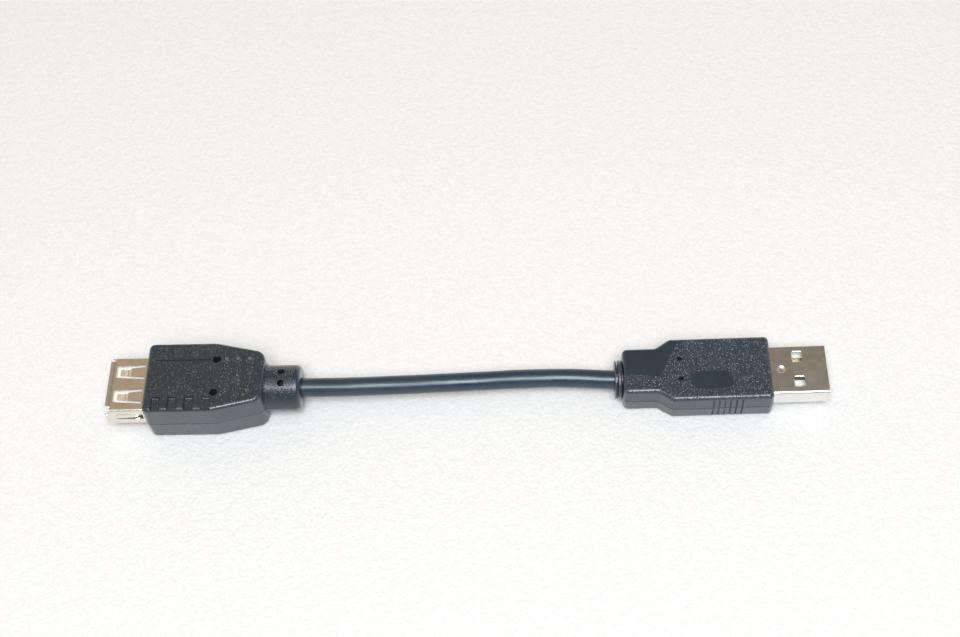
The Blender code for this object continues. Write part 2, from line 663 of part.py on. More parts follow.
def build_socket(materials):
    """Everything on the socket's end."""
    frame = make_frame("socket_frame", SOCKET_FACE, SOCKET_THICK, 180.0 + SOCKET_YAW)
    socket_overmould(frame, materials)
    socket_shell(frame, materials)
    socket_insulator(frame, materials)
    socket_contacts(frame, materials)
    socket_shell_springs(frame, materials)
    inner_mould("socket_inner_mould", frame, materials, -20.0, -9.7,
                (-6.6, 6.6, -2.9, 3.3), (-5.3, 5.3, -1.6, 1.9))
    shield_clamp("socket_shield_clamp", frame, materials, -23.5, -21.5, -6.6, -3.2)
    braid_fold("socket_braid_fold", frame, materials, -23.65, -21.3)
    add_wires("socket", frame, materials, SOCKET_CABLE_END, -10.1, 1.15, -1.0)
    socket_strain_relief(frame, materials)


def main():
    clear_scene()
    materials = make_materials()
    build_plug(materials)
    build_socket(materials)
    add_cord("cable_jacket", CABLE_ROUTE, CABLE_RADIUS, 2.0 * 2 * CABLE_RADIUS,
             materials["jacket"], sides=3)


main()
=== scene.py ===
"""The looks of the short Type-A extension cable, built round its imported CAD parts.

Shapes are written in millimetres in each connector's own frame, as in the CAD: +X runs
from the moulded body out through the mating end, X = 0 is the body's face round the
metal shell, and Z = 0 is the middle of its thickness. The socket's +Y side is the
object's -Y side, which is the near side. Materials read object coordinates scaled to
millimetres.
"""
import math

import bmesh
import bpy
import numpy as np
from mathutils import Matrix, Vector


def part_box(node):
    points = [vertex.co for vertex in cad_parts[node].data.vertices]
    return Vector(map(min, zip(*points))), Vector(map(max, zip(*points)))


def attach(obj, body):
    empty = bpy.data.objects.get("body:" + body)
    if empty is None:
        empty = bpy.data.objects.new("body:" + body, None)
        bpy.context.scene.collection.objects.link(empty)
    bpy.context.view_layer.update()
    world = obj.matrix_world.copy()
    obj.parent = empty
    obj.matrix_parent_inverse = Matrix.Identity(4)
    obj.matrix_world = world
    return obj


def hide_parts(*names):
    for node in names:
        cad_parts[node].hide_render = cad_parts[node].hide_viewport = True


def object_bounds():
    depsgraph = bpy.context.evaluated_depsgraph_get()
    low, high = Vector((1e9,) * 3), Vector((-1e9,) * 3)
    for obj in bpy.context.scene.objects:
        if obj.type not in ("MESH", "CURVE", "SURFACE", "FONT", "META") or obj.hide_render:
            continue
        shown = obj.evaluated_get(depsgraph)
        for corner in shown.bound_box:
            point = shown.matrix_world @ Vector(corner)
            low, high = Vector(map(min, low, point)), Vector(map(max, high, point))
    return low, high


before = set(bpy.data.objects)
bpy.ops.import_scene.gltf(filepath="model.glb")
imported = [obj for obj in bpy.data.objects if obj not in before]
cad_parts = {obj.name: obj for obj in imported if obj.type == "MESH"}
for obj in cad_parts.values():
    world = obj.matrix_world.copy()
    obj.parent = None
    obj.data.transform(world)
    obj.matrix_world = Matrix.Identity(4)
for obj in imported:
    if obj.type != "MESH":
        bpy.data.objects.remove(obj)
CAD_LOW, CAD_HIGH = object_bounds()

MM = 0.001
OVERLAP = 0.02           # how far a spring's root reaches into the sheet it is cut from

# Camera, in millimetres and degrees.
CAMERA_PLACE = (17.618, -170.767, 305.772)
CAMERA_BELOW_HORIZON = 58.019
CAMERA_AZIMUTH = 4.4
CAMERA_ROLL = 5.617
CAMERA_LENS = 59.143

# Cable. The route repeats the one in part.py, in metres here.
CABLE_ROUTE = ((-0.04870, -0.00024, 0.00590), (-0.04190, -0.00036, 0.00590),
               (-0.03530, -0.00047, 0.00590), (-0.02633, -0.00053, 0.00575),
               (-0.01824, -0.00032, 0.00545), (-0.01068, -0.00007, 0.00518),
               (-0.00344, 0.00020, 0.00493), (0.00339, 0.00049, 0.00470),
               (0.01030, 0.00078, 0.00448), (0.01690, 0.00093, 0.00425),
               (0.02270, 0.00087, 0.00408), (0.02770, 0.00050, 0.00400),
               (0.03230, 0.00020, 0.00398), (0.03880, 0.00019, 0.00398),
               (0.04553, 0.00019, 0.00398))
CABLE_RADIUS = 2.1
CABLE_WAVE = 0.035       # how far the jacket sinks between the wires
BORE_GAP = 0.06          # room between the jacket and the bores it runs through

# Places on each connector's axis that tie its frame to its CAD parts.
PLUG_BRAID_X = -23.0
SOCKET_BRAID_X = -22.475

# Bodies. An outline is half the plan, as (x, y, corner radius). Draft and lean are in
# degrees. A room is the hollow inside: (x, (half width, lowest, highest)) or (x, radius).
# Pin marks are (x, plus and minus y, radius of the cut, radius of the painted shade).
PLUG_THICK = 7.95
PLUG_OUTLINE = ((0.0, 0.0, 0.0), (0.0, 7.85, 1.2), (-21.85, 7.85, 1.2),
                (-25.0, 5.7, 1.5), (-32.4, 5.7, 1.3), (-32.4, 0.0, 0.0))
PLUG_DRAFT = 3.0
PLUG_EDGE = 0.9
PLUG_ROOM = ((1.0, (6.05, -2.3, 2.3)), (-4.3, (6.05, -2.3, 2.3)),
             (-4.3, (6.05, -2.7, 2.3)), (-7.5, (6.05, -2.7, 2.3)),
             (-7.5, (6.5, -2.9, 2.9)), (-19.7, (6.5, -2.9, 2.9)),
             (-19.7, (3.4, -2.9, 2.9)), (-25.8, (3.4, -2.9, 2.9)),
             (-25.8, 3.05), (-33.5, 3.05))
PLUG_GRIPS = [-6.86 - 1.24 * k for k in range(6)]
PLUG_GRIP_DEPTH = 0.25
PLUG_PATCH = (-13.2, -2.9, 4.6, 2.2)     # smooth patch: centre, half length, half width
PLUG_PATCH_DEPTH = 0.03
PLUG_MARKS = (-19.8, 2.45, 0.48, 0.52)
PLUG_MARK_DEPTH = 0.9
PLUG_SKIN_STEP = 0.14                    # spacing of the skin's points

SOCKET_THICK = 11.8
SOCKET_OUTLINE = ((0.0, 0.0, 0.0), (0.0, 8.6, 1.4), (-15.35, 8.6, 6.0),
                  (-26.3, 6.15, 2.6), (-26.3, 0.0, 0.0))
SOCKET_DRAFT = 1.7
SOCKET_EDGE = 0.8
SOCKET_LEAN = 1.2
SOCKET_ROOM = ((1.0, (6.775, -2.9, 2.9)), (-6.4, (6.775, -2.9, 2.9)),
               (-6.4, (6.775, -3.35, 2.9)), (-9.5, (6.775, -3.35, 2.9)),
               (-9.5, (6.775, -3.35, 3.35)), (-20.1, (6.775, -3.35, 3.35)),
               (-20.1, (3.6, -3.35, 3.35)), (-23.3, (3.6, -3.35, 3.35)),
               (-23.3, 5.05), (-25.4, 5.05), (-25.4, 5.35), (-27.4, 5.35))
SOCKET_NOTCHES = [-3.17 - 3.64 * k for k in range(4)]
NOTCH_DEPTH = 0.5
FAR_NOTCH_DEPTH = 0.17
SOCKET_RIBS = [-17.9 - 2.5 * k for k in range(3)]
RIB_DEPTH = 0.25
SOCKET_PANEL = (-7.95, 6.7, -4.05)       # centre, half length, y of its grooved edge
PANEL_GROOVE_DEPTH = 0.15
SOCKET_PILL = (-9.0, 1.2, 2.6, 0.75)     # raised pill: centre, half length, half width
PILL_HEIGHT = 0.10
SOCKET_MARKS = (-15.65, 4.1, 0.74, 0.77)
SOCKET_MARK_DEPTH = 2.0
SOCKET_SKIN_STEP = 0.17
NECK_RADIUS = 5.0
NECK_FRONT = -25.5
NECK_END = -33.9
NECK_EDGE = 1.0
NECK_MARK_X = -29.85
NECK_MARK_RADIUS = 0.75
NECK_MARK_DEPTH = 2.2
NECK_MARK_LEAN = 17.0                    # degrees from straight up

# Shells. A shell is (width, height, length outside the body, length inside it).
SHEET = 0.3
PLUG_SHELL = (12.0, 4.5, 12.05, 7.5)
PLUG_SHELL_CORNER = 0.6
PLUG_WINDOW = (5.8, 3.1, 2.25, 2.55)     # centre, offset, length, width
PLUG_DIMPLE = (2.1, 0.95, 0.20)          # x, radius, depth
PLUG_SEAM = ((12.2, 0.0), (9.0, 0.0), (9.25, 1.1), (7.55, 1.1), (7.8, 0.0), (0.3, 0.0))
PLUG_SEAM_HALF = 0.04
PLUG_SEAM_DEPTH = 0.14
SOCKET_SHELL = (13.45, 5.7, 7.7, 9.5)
SOCKET_SHELL_CORNER = 0.45
SOCKET_LIP = (0.9, 0.45)                 # length, flare
WIDE_LIP = (5.75, 5.55)                  # half widths at its root and tip
SIDE_LIP = (1.95, 1.8)
SOCKET_WINDOW = (0.78, 7.1, 3.75, 2.8)   # start, end, width at each
SOCKET_WINDOW_Y = 3.05
SOCKET_SIDE_WINDOW = (0.6, 6.5, 2.0, 0.2)    # start, end, height, middle
SPRING_PIVOT = (-4.3, 0.5)               # x and z of the contact legs' hinges
CONTACTS = (("vbus", -3.5), ("data_minus", -1.0), ("data_plus", 1.0), ("ground", 3.5))

# Finishes.
PVC_SHEEN = (0.80, 0.93, 1.0, 1.0)       # the plastic's gloss is a little blue
BEADS_PER_MM = 2.8


# ---------------------------------------------------------------- node materials

def new_material(name, roughness, metallic=0.0, **constants):
    """A material, its node tree and its shader, whose sockets take the constants."""
    material = bpy.data.materials.new(name)
    material.use_nodes = True
    tree = material.node_tree
    shader = tree.nodes["Principled BSDF"]
    shader.inputs["Roughness"].default_value = roughness
    shader.inputs["Metallic"].default_value = metallic
    for label, value in constants.items():
        shader.inputs[label.replace("_", " ")].default_value = value
    return material, tree, shader


def add_node(tree, kind, inputs=(), **settings):
    """Add a node, set its properties, and set or link its inputs."""
    node = tree.nodes.new(kind)
    for label, value in settings.items():
        setattr(node, label, value)
    for label, value in dict(inputs).items():
        if isinstance(value, bpy.types.NodeSocket):
            tree.links.new(value, node.inputs[label])
        else:
            node.inputs[label].default_value = value
    return node


def millimetres(tree, stretch=(1.0, 1.0, 1.0)):
    """Object coordinates in millimetres, squeezed along each axis by the stretch."""
    place = add_node(tree, "ShaderNodeTexCoord")
    scale = [1.0 / MM / s for s in stretch]
    return add_node(tree, "ShaderNodeMapping", {"Vector": place.outputs["Object"],
                                                "Scale": scale}).outputs["Vector"]


def noise(tree, vector, scale, detail=3.0, roughness=0.5):
    """A noise value from 0 to 1 with features about 1/scale long."""
    return add_node(tree, "ShaderNodeTexNoise", {"Vector": vector, "Scale": scale,
                                                 "Detail": detail, "Roughness": roughness}
                    ).outputs["Fac"]


def ramp(tree, value, stops):
    """A colour ramp through (position, colour) stops."""
    node = add_node(tree, "ShaderNodeValToRGB", {"Fac": value})
    elements = node.color_ramp.elements
    while len(elements) < len(stops):
        elements.new(0.5)
    for element, (position, colour) in zip(elements, stops):
        element.position = position
        element.color = (*colour, 1.0) if len(colour) == 3 else colour
    return node.outputs["Color"]


def span(tree, value, low, high, start=0.0, end=1.0):
    """Map a value's span from start to end onto low to high."""
    return add_node(tree, "ShaderNodeMapRange", {"Value": value, "From Min": start,
                                                 "From Max": end, "To Min": low,
                                                 "To Max": high}).outputs["Result"]


def maths(tree, operation, a, b=0.0):
    """One sum of two values or sockets."""
    node = add_node(tree, "ShaderNodeMath", operation=operation)
    for socket, value in zip(node.inputs, (a, b)):
        if isinstance(value, bpy.types.NodeSocket):
            tree.links.new(value, socket)
        else:
            socket.default_value = value
    return node.outputs["Value"]


def bump(tree, height, depth, normal=None):
    """A bump whose full height is the depth in millimetres."""
    inputs = {"Height": height, "Distance": depth * MM, "Strength": 1.0}
    if normal:
        inputs["Normal"] = normal
    return add_node(tree, "ShaderNodeBump", inputs).outputs["Normal"]


def shade(tree, shader, colour, roughness=None, normal=None):
    """Link the finished colour, roughness and normal to the shader."""
    tree.links.new(colour, shader.inputs["Base Color"])
    if roughness is not None:
        tree.links.new(roughness, shader.inputs["Roughness"])
    if normal is not None:
        tree.links.new(normal, shader.inputs["Normal"])


def moulded_pvc(name, base, beads, share, rough, coat=1.0, painted_glint=0.22):
    """Moulded PVC: a faint leather grain, and raised beads over a share of it. The beads'
    tops carry painted highlights, pale glints, most of all where the surface looks up or
    down."""
    material, tree, shader = new_material(
        name, rough, Coat_Weight=coat, Coat_Roughness=0.24, Coat_IOR=1.55,
        Specular_IOR_Level=0.55, Specular_Tint=PVC_SHEEN)
    at = millimetres(tree)
    wander = noise(tree, at, 0.35, 2.0)
    fine = noise(tree, at, 4.0, 3.0, 0.6)
    cells = add_node(tree, "ShaderNodeTexVoronoi", {
        "Vector": at, "Scale": BEADS_PER_MM, "Randomness": 0.85}, feature="F1")
    pick = add_node(tree, "ShaderNodeSeparateColor", {"Color": cells.outputs["Color"]})
    chance = maths(tree, "ADD", maths(tree, "MULTIPLY", pick.outputs["Red"], 0.6),
                   maths(tree, "MULTIPLY", wander, 0.7))
    chosen = ramp(tree, chance, ((1.10 - share, (0, 0, 0)), (1.16 - share, (1, 1, 1))))
    bead = ramp(tree, cells.outputs["Distance"], ((0.16, (1, 1, 1)), (0.38, (0, 0, 0))))
    raised = maths(tree, "MULTIPLY", bead, chosen)
    light = tuple(1.35 * value for value in base)
    body = ramp(tree, wander, ((0.3, base), (0.7, light)))
    outward = add_node(tree, "ShaderNodeTexCoord").outputs["Normal"]
    upright = add_node(tree, "ShaderNodeSeparateXYZ", {"Vector": outward}).outputs["Z"]
    facing = span(tree, maths(tree, "ABSOLUTE", upright), 0.12, 1.0, 0.45, 0.80)
    # Painted highlight: the chosen beads' tops are mixed towards a pale colour as glints,
    # more where the surface looks up or down.
    pale = maths(tree, "MULTIPLY", raised, maths(tree, "POWER", pick.outputs["Green"], 2.0))
    pale = maths(tree, "MULTIPLY", pale, facing)
    top = tuple(painted_glint * tint for tint in (0.82, 0.93, 1.0)) + (1.0,)
    colour = add_node(tree, "ShaderNodeMix", {"Factor": pale, "A": body, "B": top},
                      data_type="RGBA").outputs["Result"]
    normal = bump(tree, fine, 0.014)
    normal = bump(tree, raised, beads, normal)
    shade(tree, shader, colour, span(tree, fine, rough - 0.08, rough + 0.08, 0.3, 0.7),
          normal)
    tree.links.new(normal, shader.inputs["Coat Normal"])
    return material


def cable_pvc():
    """The jacket: long shallow waves, a fine grain, and duller stretches from handling."""
    material, tree, shader = new_material(
        "cable_pvc_jacket", 0.3, Coat_Weight=0.3, Coat_Roughness=0.15,
        Specular_Tint=PVC_SHEEN)
    long_way = noise(tree, millimetres(tree, (6.0, 1.2, 1.2)), 1.0, 3.0)
    at = millimetres(tree)
    fine = noise(tree, at, 3.5, 3.0)
    body = ramp(tree, noise(tree, at, 0.25, 2.0), ((0.3, (0.018, 0.035, 0.054)),
                                                   (0.7, (0.028, 0.047, 0.068))))
    normal = bump(tree, long_way, 0.10)
    normal = bump(tree, fine, 0.010, normal)
    handled = noise(tree, millimetres(tree, (3.0, 1.0, 1.0)), 0.22, 2.0)
    shade(tree, shader, body, span(tree, handled, 0.25, 0.44, 0.38, 0.62), normal)
    return material


def plated_steel(name, dark, light, rough, dents=0.0, mottle=0.1, metallic=1.0):
    """Plated sheet: faint rolling lines along X, cloudy tarnish and small smudges."""
    material, tree, shader = new_material(name, rough, metallic)
    lines = noise(tree, millimetres(tree, (9.0, 0.22, 0.22)), 1.0, 3.0)
    at = millimetres(tree)
    clouds = noise(tree, at, 0.45, 4.0, 0.6)
    specks = noise(tree, at, 3.2, 2.0)
    mixed = maths(tree, "ADD", maths(tree, "MULTIPLY", clouds, 1.0 - mottle),
                  maths(tree, "MULTIPLY", specks, mottle))
    colour = ramp(tree, mixed, ((0.30, dark), (0.70, light)))
    roughness = span(tree, clouds, rough - 0.03, rough + 0.05, 0.3, 0.7)
    normal = bump(tree, lines, 0.0012)
    if dents:
        normal = bump(tree, specks, dents, normal)
    shade(tree, shader, colour, roughness, normal)
    return material


def plain_plastic(name, dark, light, rough, scale=1.2, depth=0.008, **constants):
    """A moulded or drawn plastic with a slightly uneven colour and surface."""
    material, tree, shader = new_material(name, rough, **constants)
    at = millimetres(tree)
    clouds = noise(tree, at, scale, 3.0)
    fine = noise(tree, at, 5.0, 2.0)
    shade(tree, shader, ramp(tree, clouds, ((0.3, dark), (0.7, light))),
          span(tree, fine, rough - 0.05, rough + 0.08, 0.3, 0.7), bump(tree, fine, depth))
    return material


def braided_wire():
    """Tinned braid: fine bundles that cross at a slant."""
    material, tree, shader = new_material("tinned_braid_weave", 0.38, 1.0)
    at = millimetres(tree)
    waves = []
    for turn in (0.6, -0.6):
        turned = add_node(tree, "ShaderNodeMapping", {
            "Vector": at, "Rotation": (turn, 0.0, turn)}).outputs["Vector"]
        waves.append(add_node(tree, "ShaderNodeTexWave", {
            "Vector": turned, "Scale": 1.1, "Distortion": 0.6}).outputs["Fac"])
    weave = maths(tree, "MAXIMUM", *waves)
    # Painted shade: the braid is darker where the weave is low, between the bundles.
    colour = ramp(tree, weave, ((0.2, (0.30, 0.29, 0.27)), (0.9, (0.68, 0.67, 0.63))))
    shade(tree, shader, colour, span(tree, weave, 0.5, 0.3), bump(tree, weave, 0.08))
    return material


def foam_floor():
    """Pale packing foam with fine cells that glint a little."""
    material, tree, shader = new_material("pale_foam", 0.6)
    at = millimetres(tree)
    cells = add_node(tree, "ShaderNodeTexVoronoi", {"Vector": at, "Scale": 1.3},
                     feature="F1").outputs["Distance"]
    soft = noise(tree, at, 0.5, 4.0, 0.7)
    mixed = maths(tree, "ADD", maths(tree, "MULTIPLY", cells, 0.5), soft)
    colour = ramp(tree, mixed, ((0.50, (0.855, 0.865, 0.875)),
                                (0.95, (0.795, 0.81, 0.825))))
    shade(tree, shader, colour, None, bump(tree, mixed, 0.20))
    return material


def make_materials():
    """Every finish by its short name."""
    return {
        # painted_glint sets how pale the painted highlights on the bead tops are.
        "plain": moulded_pvc("plain_pvc", (0.004, 0.011, 0.021), beads=0.05, share=0.62,
                             rough=0.42, painted_glint=0.16),
        "ribbed": moulded_pvc("beaded_pvc", (0.006, 0.013, 0.024), beads=0.07, share=0.95,
                              rough=0.42, painted_glint=0.52),
        "grained": moulded_pvc("grained_pvc", (0.010, 0.019, 0.035), beads=0.07, share=0.88,
                               rough=0.42, painted_glint=0.46),
        "neck": moulded_pvc("neck_pvc", (0.006, 0.013, 0.022), beads=0.11, share=1.0,
                            rough=0.46, coat=0.6, painted_glint=0.46),
        "smooth": moulded_pvc("smooth_pvc", (0.0045, 0.016, 0.028), beads=0.004, share=0.1,
                              rough=0.38),
        # The dark matte finish: painted shade in the pin marks and the panel's groove, and
        # the seam's dark line.
        "hole": plain_plastic("seam_and_painted_shade_pvc", (0.006, 0.007, 0.009),
                              (0.010, 0.012, 0.014), 0.8),
        "jacket": cable_pvc(),
        "plug_steel": plated_steel("plug_nickel_plate", (0.79, 0.77, 0.74),
                                   (0.85, 0.835, 0.805), 0.22),
        "socket_steel": plated_steel("socket_nickel_plate", (0.74, 0.70, 0.62),
                                     (0.80, 0.76, 0.68), 0.24),
        # Paler, less metallic plate: painted highlight across the fingers' bends, and a
        # mottled, dented finish on their pads.
        "pad_and_highlight_steel": plated_steel("pad_and_highlight_nickel_plate", (0.62, 0.50, 0.36),
                                   (1.0, 0.88, 0.70), 0.30, dents=0.08, mottle=0.8,
                                   metallic=0.55),
        "gold": plated_steel("gold_plate", (0.88, 0.76, 0.54), (0.96, 0.86, 0.66), 0.28),
        "crimp": plated_steel("crimp_plate", (0.46, 0.46, 0.45), (0.62, 0.62, 0.60), 0.34),
        "white": plain_plastic("white_nylon", (0.90, 0.91, 0.93), (0.94, 0.945, 0.955),
                               0.45, Subsurface_Weight=0.15, Subsurface_Scale=0.001),
        "inner": plain_plastic("milky_polyethylene", (0.48, 0.48, 0.43), (0.60, 0.60, 0.55),
                               0.55, depth=0.02),
        "braid": braided_wire(),
        "wire_red": plain_plastic("red_wire", (0.48, 0.02, 0.02), (0.64, 0.04, 0.03), 0.4),
        "wire_white": plain_plastic("white_wire", (0.74, 0.74, 0.72),
                                    (0.84, 0.84, 0.82), 0.4),
        "wire_green": plain_plastic("green_wire", (0.03, 0.30, 0.08),
                                    (0.05, 0.40, 0.12), 0.4),
        "wire_black": plain_plastic("black_wire", (0.012, 0.012, 0.014),
                                    (0.024, 0.024, 0.026), 0.4),
    }


# ---------------------------------------------------------------- meshes

def connector_frame(prefix, braid_x):
    """A connector's own frame, in millimetres, from two CAD parts on its axis."""
    low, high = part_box(prefix + "_braid_fold")
    on_axis = (low + high) / 2
    low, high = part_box(prefix + "_inner_mould")
    ahead = (low + high) / 2 - on_axis
    turn = Matrix.Rotation(math.atan2(ahead.y, ahead.x), 4, "Z")
    return (Matrix.Translation(on_axis) @ turn @ Matrix.Scale(MM, 4)
            @ Matrix.Translation((-braid_x, 0.0, 0.0)))


def add_piece(name, mesh, materials, place, body, slot, *nodes, crease=38):
    """Put a mesh made in a connector's frame into the scene as a piece on a body. Its
    faces keep their material numbers, which clearing the list of materials resets."""
    mesh.transform(place)
    chosen = [polygon.material_index for polygon in mesh.polygons]
    mesh.materials.clear()
    for material in materials:
        mesh.materials.append(material)
    mesh.polygons.foreach_set("material_index", chosen)
    mesh.shade_smooth()
    mesh.set_sharp_from_angle(angle=math.radians(crease))
    piece = bpy.data.objects.new(name, mesh)
    bpy.context.scene.collection.objects.link(piece)
    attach(piece, body)
    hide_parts(*nodes)
    return piece


def mesh_of(points, faces):
    """A mesh from points and faces, welded, with its faces turned outwards."""
    shape = bmesh.new()
    verts = [shape.verts.new(point) for point in points]
    for face in faces:
        shape.faces.new([verts[i] for i in face])
    bmesh.ops.remove_doubles(shape, verts=shape.verts, dist=1e-4)
    bmesh.ops.dissolve_degenerate(shape, edges=shape.edges, dist=1e-5)
    bmesh.ops.recalc_face_normals(shape, faces=shape.faces)
    if shape.calc_volume(signed=True) < 0:
        bmesh.ops.reverse_faces(shape, faces=shape.faces)
    mesh = bpy.data.meshes.new("shape")
    shape.to_mesh(mesh)
    shape.free()
    return mesh


def loft(sections, capped=True, cyclic=False):
    """A mesh through sections of equal length, each one a closed ring of points."""
    count = len(sections[0])
    points = [point for section in sections for point in section]
    faces = []
    pairs = len(sections) if cyclic else len(sections) - 1
    for r in range(pairs):
        low, high = r * count, (r + 1) % len(sections) * count
        for i in range(count):
            j = (i + 1) % count
            faces.append((low + i, low + j, high + j, high + i))
    if capped and not cyclic:
        faces.append(tuple(range(count)))
        faces.append(tuple(range((len(sections) - 1) * count, len(sections) * count)))
    return mesh_of(points, faces)


def carved(mesh, cutters, operation="DIFFERENCE", bevel=0.0):
    """The mesh with cutters taken away or joined on, then its edges eased."""
    target = bpy.data.objects.new("target", mesh)
    bpy.context.scene.collection.objects.link(target)
    helpers = []
    for cutter in cutters:
        helper = bpy.data.objects.new("cutter", cutter)
        bpy.context.scene.collection.objects.link(helper)
        modifier = target.modifiers.new("cut", "BOOLEAN")
        modifier.operation = operation
        modifier.solver = "EXACT"
        modifier.object = helper
        helpers.append(helper)
    if bevel:
        modifier = target.modifiers.new("ease", "BEVEL")
        modifier.width = bevel
        modifier.segments = 2
        modifier.limit_method = "ANGLE"
        modifier.angle_limit = math.radians(50)
    graph = bpy.context.evaluated_depsgraph_get()
    result = bpy.data.meshes.new_from_object(target.evaluated_get(graph))
    for obj in helpers + [target]:
        bpy.data.objects.remove(obj)
    return result


def fillet(corners, steps):
    """Replace each (a, b, radius) corner of a closed outline with an arc of points."""
    points = []
    count = len(corners)
    for i, (a, b, radius) in enumerate(corners):
        here = Vector((a, b))
        if radius == 0.0:
            points.append(here)
            continue
        to_last = (Vector(corners[i - 1][:2]) - here).normalized()
        to_next = (Vector(corners[(i + 1) % count][:2]) - here).normalized()
        half = to_last.angle(to_next) / 2
        centre = here + (to_last + to_next).normalized() * radius / math.sin(half)
        start = here + to_last * radius / math.tan(half) - centre
        sweep = start.angle_signed(here + to_next * radius / math.tan(half) - centre)
        for k in range(steps + 1):
            points.append(centre + Matrix.Rotation(-sweep * k / steps, 2) @ start)
    return points


def pulse(value, middle, half, soft):
    """1 within half of the middle, 0 outside, with a soft edge."""
    t = np.clip((half - np.abs(value - middle)) / soft + 0.5, 0.0, 1.0)
    return t * t * (3.0 - 2.0 * t)


def pill_mask(x, y, pill, soft):
    """1 inside a pill-shaped area (centre x and y, half length, half width)."""
    cx, cy, half_long, half_wide = pill
    along = np.maximum(np.abs(x - cx) - (half_long - half_wide), 0.0)
    return pulse(np.hypot(along, y - cy), 0.0, half_wide, soft)


def resampled(points, spacing):
    """Points of an open path at an even spacing, with the outward normal at each."""
    path = np.array([tuple(p) for p in points], float)
    steps = np.hypot(*np.diff(path, axis=0).T)
    path = path[np.concatenate([[True], steps > 1e-6])]
    along = np.concatenate([[0.0], np.cumsum(np.hypot(*np.diff(path, axis=0).T))])
    at = np.linspace(0.0, along[-1], round(along[-1] / spacing) + 1)
    even = np.stack([np.interp(at, along, path[:, k]) for k in (0, 1)], axis=1)
    tangent = np.gradient(even, axis=0)
    tangent /= np.hypot(*tangent.T)[:, None]
    normal = np.stack([tangent[:, 1], -tangent[:, 0]], axis=1)
    normal[0], normal[-1] = (1.0, 0.0), (-1.0, 0.0)
    return even, normal


def moulded_skin(outline, thickness, draft, edge, lean, sink, dent, spacing):
    """A moulded body's outside. Sink gives how deep the top or bottom is cut at (x, y),
    and dent how deep the wall is cut at (x, y, z)."""
    half, normal = resampled(fillet(outline, 14)[:-1] + [Vector(outline[-1][:2])], spacing)
    mirror = np.array([1.0, -1.0])
    ring = np.concatenate([half, half[-2:0:-1] * mirror])
    out = np.concatenate([normal, normal[-2:0:-1] * mirror])
    top = thickness / 2
    straight = top - edge
    slope = math.tan(math.radians(draft))
    heights = [0.0, 0.05, 0.10, 0.18] + list(np.linspace(0.45, straight, 12))
    levels = [(z, z * slope) for z in heights]
    for k in range(1, 9):
        angle = math.pi / 2 * k / 8
        levels.append((straight + edge * math.sin(angle),
                       straight * slope + edge * (1 - math.cos(angle))))
    fade = np.clip((ring[:, 0] + 3.0) / 2.0, 0.0, 1.0)
    sheets = []
    for side in (-1.0, 1.0):
        rows = []
        for z, inset in levels:
            reach = inset + dent(ring[:, 0], ring[:, 1], side * z)
            row = ring - out * reach[:, None]
            row[:, 0] -= z * math.tan(math.radians(lean)) * fade
            rows.append(np.column_stack([row, np.full(len(row), z)]))
        rim = rows[-1]
        spine = np.clip(rim[:, 0], outline[-1][0] + 3.0, -3.0)
        rings = round(outline[1][1] / spacing)
        for k in range(1, rings + 1):
            t = k / rings
            rows.append(np.column_stack([rim[:, 0] + (spine - rim[:, 0]) * t,
                                         rim[:, 1] * (1.0 - t), rim[:, 2]]))
        for row in rows:
            floor = top - sink(row[:, 0], row[:, 1], side)
            row[:, 2] = side * np.minimum(row[:, 2], floor)
        sheets.append(rows)
    sections = sheets[0][::-1] + sheets[1][1:]
    return loft([[tuple(p) for p in row] for row in sections], capped=False)


def finish_by_place(mesh, finish):
    """Give each face the material that finish picks for its middle."""
    for polygon in mesh.polygons:
        polygon.material_index = finish(*polygon.center)


def prism(outline, z0, z1):
    """An upright prism on a plan outline."""
    return loft([[(p[0], p[1], z) for p in outline] for z in (z0, z1)])


def rounded_rectangle(x0, x1, y0, y1, radius):
    return fillet(((x1, y0, radius), (x1, y1, radius),
                   (x0, y1, radius), (x0, y0, radius)), 6)


def hollow(sections, count=48):
    """A cutter along X through (x, shape) sections. A shape is a radius or (y, z0, z1)."""
    rings = []
    for x, shape in sections:
        ring = []
        for k in range(count):
            angle = math.tau * (k + 0.5) / count
            c, s = math.cos(angle), math.sin(angle)
            if isinstance(shape, tuple):
                half, low, high = shape
                reach = 1.0 / max(abs(c), abs(s))
                ring.append((x, c * reach * half,
                             (low + high) / 2 + s * reach * (high - low) / 2))
            else:
                ring.append((x, c * shape, s * shape))
        rings.append(ring)
    return loft(rings)


def lathe(profile, segments, shape_ring=None):
    """A ring of revolution about X from a closed (x, radius) profile."""
    sections = []
    for i in range(segments):
        angle = math.tau * i / segments
        row = []
        for x, r in profile:
            y, z = r * math.cos(angle), r * math.sin(angle)
            row.append(shape_ring(x, r, y, z) if shape_ring else (x, y, z))
        sections.append(row)
    return loft(sections, cyclic=True)


def pin(start, direction, radius, length):
    """A round cutter that starts at a point and runs in a direction."""
    shape = bmesh.new()
    bmesh.ops.create_cone(shape, cap_ends=True, segments=24, radius1=radius,
                          radius2=radius, depth=length)
    turn = direction.to_track_quat("Z", "X").to_matrix().to_4x4()
    middle = start + direction.normalized() * length / 2
    shape.transform(Matrix.Translation(middle) @ turn)
    mesh = bpy.data.meshes.new("pin")
    shape.to_mesh(mesh)
    shape.free()
    return mesh


def smooth_line(route, steps):
    """A smooth line through a route's points."""
    route = [Vector(point) for point in route]
    padded = [2 * route[0] - route[1]] + route + [2 * route[-1] - route[-2]]
    line = []
    for before, a, b, after in zip(padded, padded[1:], padded[2:], padded[3:]):
        for k in range(steps):
            t = k / steps
            line.append(0.5 * (2 * a + (b - before) * t
                               + (2 * before - 5 * a + 4 * b - after) * t * t
                               + (3 * a - before - 3 * b + after) * t ** 3))
    line.append(route[-1])
    return line


